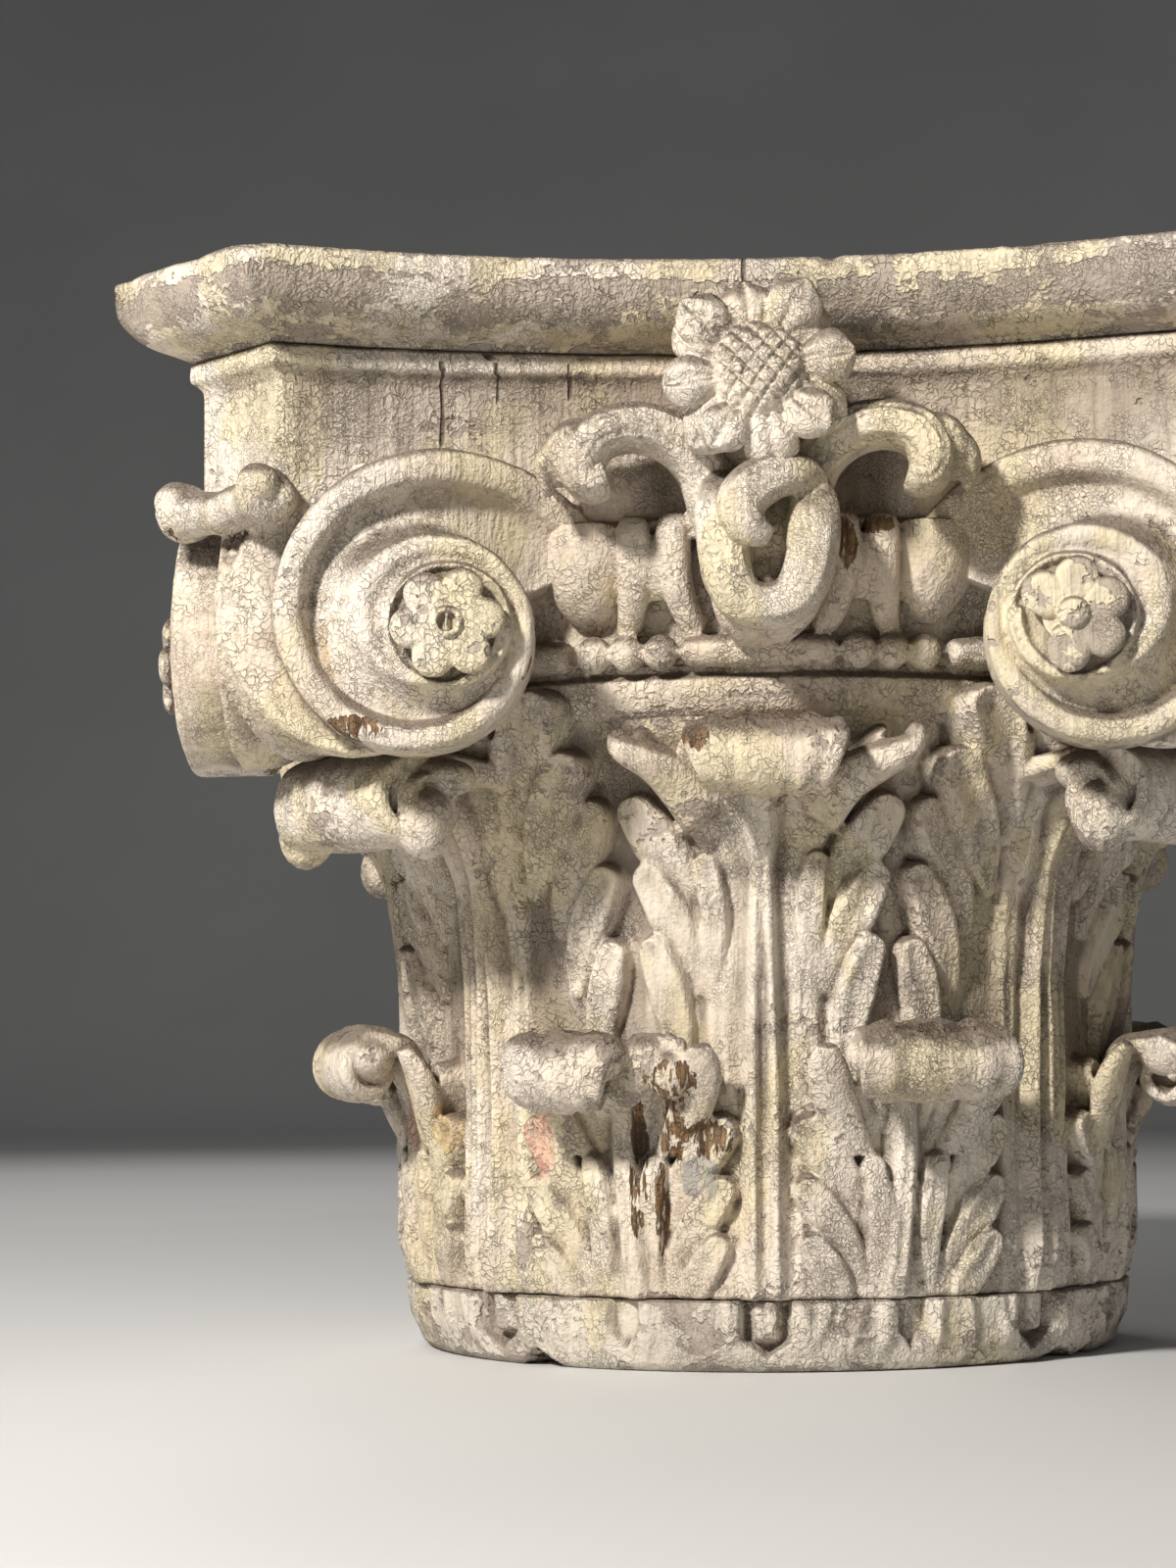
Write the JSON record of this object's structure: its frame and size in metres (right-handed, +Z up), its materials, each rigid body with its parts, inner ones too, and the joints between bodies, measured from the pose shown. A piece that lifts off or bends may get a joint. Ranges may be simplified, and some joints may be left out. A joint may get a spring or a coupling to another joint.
{
  "type": "corinthian capital",
  "caption": "Carved and painted wooden column capital with acanthus leaves, corner volutes, egg-and-dart band and a concave-sided slab.",
  "frame": {"origin": "centre of the flat underside", "axes": "+Z up along the column's axis, -Y out of the front face"},
  "size_m": [0.53, 0.53, 0.45],
  "materials": {
    "foot_paint": "worn, dusty cream paint on wood",
    "cream_paint": "old chalky cream paint, crackled and flaking",
    "slab_paint": "yellowed cream paint with grey worn bands",
    "rosette_paint": "rubbed cream paint with bare wood showing"
  },
  "bodies": {
    "root": {"base_ring": "foot_paint", "carved_block": "cream_paint", "abacus_slab": "slab_paint", "rosette_1": "rosette_paint", "rosette_2": "rosette_paint", "rosette_3": "rosette_paint", "rosette_4": "rosette_paint", "rosette_5": "rosette_paint", "rosette_6": "rosette_paint", "rosette_7": "rosette_paint", "rosette_8": "rosette_paint"}
  },
  "joints": []
}
